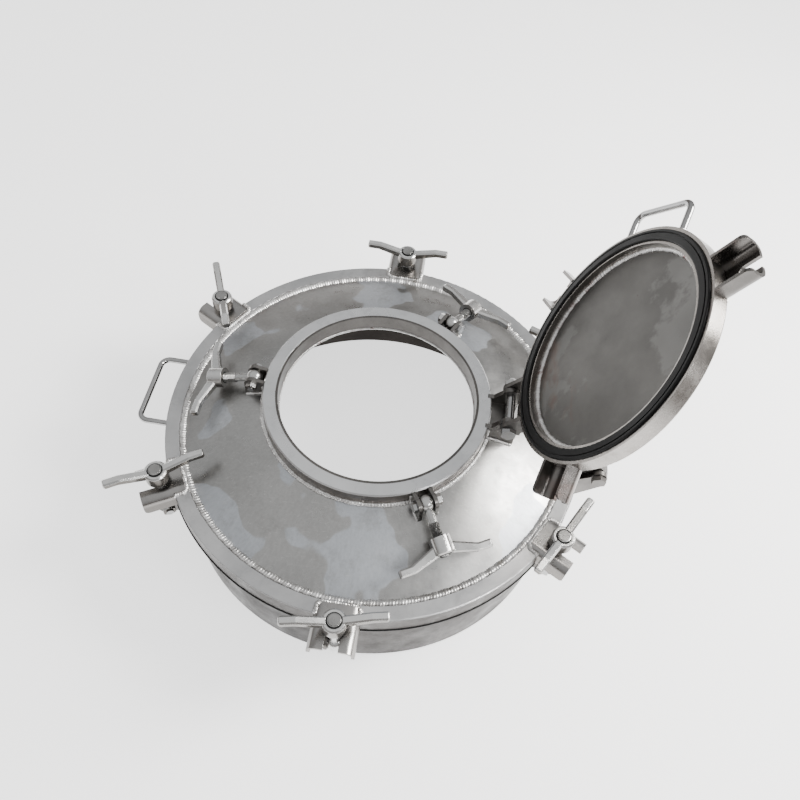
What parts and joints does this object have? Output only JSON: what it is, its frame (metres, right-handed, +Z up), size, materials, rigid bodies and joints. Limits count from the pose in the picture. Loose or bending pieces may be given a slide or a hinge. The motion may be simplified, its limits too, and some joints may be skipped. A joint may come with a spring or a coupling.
{
  "type": "tank manway cover",
  "caption": "Dished tank cover clamped on a collar by swing bolts with wing nuts, with a neck and a small hinged manway lid that stands open.",
  "frame": {"origin": "centre of the collar's bottom edge", "axes": "+Z up along the axis of the collar and the cover, +X towards both hinges"},
  "size_m": [0.8449, 0.796, 0.6775],
  "materials": {
    "steel": "brushed and bead-blasted stainless steel",
    "sheet": "matt rolled stainless sheet, smudged",
    "weld": "rippled weld bead",
    "fastener": "bright stainless fastener",
    "rubber": "black moulded rubber"
  },
  "bodies": {
    "cover": {"collar_wall": "steel", "collar_flange": "steel", "collar_clevises": "steel", "collar_clevis_bolts": "fastener", "collar_clevis_nuts": "fastener", "cover_gasket": "rubber", "cover_gasket_seat": "steel", "cover_rim": "steel", "cover_dish": "sheet", "cover_rim_weld": "weld", "cover_handle": "steel", "neck_band": "steel", "neck_tube": "steel", "neck_weld": "weld", "neck_clevises": "steel", "neck_clevis_bolts": "fastener", "neck_clevis_nuts": "fastener", "neck_hinge_bracket": "steel", "lid_hinge_pin": "fastener", "lid_hinge_nut": "fastener", "main_hinge_lugs": "steel", "main_hinge_arm": "steel", "main_hinge_pin": "fastener", "main_hinge_nut": "fastener", "cover_ear_1": "steel", "cover_ear_2": "steel", "cover_ear_3": "steel", "cover_ear_4": "steel", "cover_ear_5": "steel", "cover_ear_6": "steel"},
    "lid": {"lid_rim": "steel", "lid_gasket": "rubber", "lid_gasket_seat": "steel", "lid_plate": "sheet", "lid_weld": "weld", "lid_handle": "steel", "lid_hinge_bracket": "steel", "lid_ear_1": "steel", "lid_ear_2": "steel", "lid_ear_3": "steel"},
    "outer_bolt_1": {"outer_bolt_1": "fastener"},
    "outer_nut_1": {"outer_nut_1": "fastener"},
    "outer_bolt_2": {"outer_bolt_2": "fastener"},
    "outer_nut_2": {"outer_nut_2": "fastener"},
    "outer_bolt_3": {"outer_bolt_3": "fastener"},
    "outer_nut_3": {"outer_nut_3": "fastener"},
    "outer_bolt_4": {"outer_bolt_4": "fastener"},
    "outer_nut_4": {"outer_nut_4": "fastener"},
    "outer_bolt_5": {"outer_bolt_5": "fastener"},
    "outer_nut_5": {"outer_nut_5": "fastener"},
    "outer_bolt_6": {"outer_bolt_6": "fastener"},
    "outer_nut_6": {"outer_nut_6": "fastener"},
    "inner_bolt_1": {"inner_bolt_1": "fastener"},
    "inner_nut_1": {"inner_nut_1": "fastener"},
    "inner_bolt_2": {"inner_bolt_2": "fastener"},
    "inner_nut_2": {"inner_nut_2": "fastener"},
    "inner_bolt_3": {"inner_bolt_3": "fastener"},
    "inner_nut_3": {"inner_nut_3": "fastener"}
  },
  "joints": [
    {"name": "lid_hinge", "type": "hinge", "parent": "cover", "child": "lid", "pos_m": [0.214, 0, 0.29], "axis": [0, -1, 0], "range_deg": [0, 119]},
    {"name": "outer_bolt_1_swing", "type": "hinge", "parent": "cover", "child": "outer_bolt_1", "pos_m": [0, -0.365, 0.148], "axis": [1, 0, 0], "range_deg": [0, 100]},
    {"name": "outer_nut_1_spin", "type": "hinge", "parent": "outer_bolt_1", "child": "outer_nut_1", "pos_m": [0, -0.365, 0.222], "axis": [0, 0, 1], "continuous": true},
    {"name": "outer_bolt_2_swing", "type": "hinge", "parent": "cover", "child": "outer_bolt_2", "pos_m": [0.3161, -0.1825, 0.148], "axis": [0.5, 0.866, 0], "range_deg": [0, 100]},
    {"name": "outer_nut_2_spin", "type": "hinge", "parent": "outer_bolt_2", "child": "outer_nut_2", "pos_m": [0.3161, -0.1825, 0.222], "axis": [0, 0, 1], "continuous": true},
    {"name": "outer_bolt_3_swing", "type": "hinge", "parent": "cover", "child": "outer_bolt_3", "pos_m": [0.3161, 0.1825, 0.148], "axis": [-0.5, 0.866, 0], "range_deg": [0, 100]},
    {"name": "outer_nut_3_spin", "type": "hinge", "parent": "outer_bolt_3", "child": "outer_nut_3", "pos_m": [0.3161, 0.1825, 0.222], "axis": [0, 0, 1], "continuous": true},
    {"name": "outer_bolt_4_swing", "type": "hinge", "parent": "cover", "child": "outer_bolt_4", "pos_m": [0, 0.365, 0.148], "axis": [-1, 0, 0], "range_deg": [0, 100]},
    {"name": "outer_nut_4_spin", "type": "hinge", "parent": "outer_bolt_4", "child": "outer_nut_4", "pos_m": [0, 0.365, 0.222], "axis": [0, 0, 1], "continuous": true},
    {"name": "outer_bolt_5_swing", "type": "hinge", "parent": "cover", "child": "outer_bolt_5", "pos_m": [-0.3161, 0.1825, 0.148], "axis": [-0.5, -0.866, 0], "range_deg": [0, 100]},
    {"name": "outer_nut_5_spin", "type": "hinge", "parent": "outer_bolt_5", "child": "outer_nut_5", "pos_m": [-0.3161, 0.1825, 0.222], "axis": [0, 0, 1], "continuous": true},
    {"name": "outer_bolt_6_swing", "type": "hinge", "parent": "cover", "child": "outer_bolt_6", "pos_m": [-0.3161, -0.1825, 0.148], "axis": [0.5, -0.866, 0], "range_deg": [0, 100]},
    {"name": "outer_nut_6_spin", "type": "hinge", "parent": "outer_bolt_6", "child": "outer_nut_6", "pos_m": [-0.3161, -0.1825, 0.222], "axis": [0, 0, 1], "continuous": true},
    {"name": "inner_bolt_1_swing", "type": "hinge", "parent": "cover", "child": "inner_bolt_1", "pos_m": [0.1025, 0.17753, 0.268], "axis": [0.866, -0.5, 0], "range_deg": [0, 106]},
    {"name": "inner_nut_1_spin", "type": "hinge", "parent": "inner_bolt_1", "child": "inner_nut_1", "pos_m": [0.13614, 0.23581, 0.24871], "axis": [0.4806, 0.8325, -0.2756], "range_deg": [-8, 8]},
    {"name": "inner_bolt_2_swing", "type": "hinge", "parent": "cover", "child": "inner_bolt_2", "pos_m": [-0.205, 0, 0.268], "axis": [0, 1, 0], "range_deg": [0, 106]},
    {"name": "inner_nut_2_spin", "type": "hinge", "parent": "inner_bolt_2", "child": "inner_nut_2", "pos_m": [-0.27229, 0, 0.24871], "axis": [-0.9613, 0, -0.2756], "range_deg": [-8, 8]},
    {"name": "inner_bolt_3_swing", "type": "hinge", "parent": "cover", "child": "inner_bolt_3", "pos_m": [0.1025, -0.17753, 0.268], "axis": [-0.866, -0.5, 0], "range_deg": [0, 106]},
    {"name": "inner_nut_3_spin", "type": "hinge", "parent": "inner_bolt_3", "child": "inner_nut_3", "pos_m": [0.13614, -0.23581, 0.24871], "axis": [0.4806, -0.8325, -0.2756], "range_deg": [-8, 8]}
  ]
}
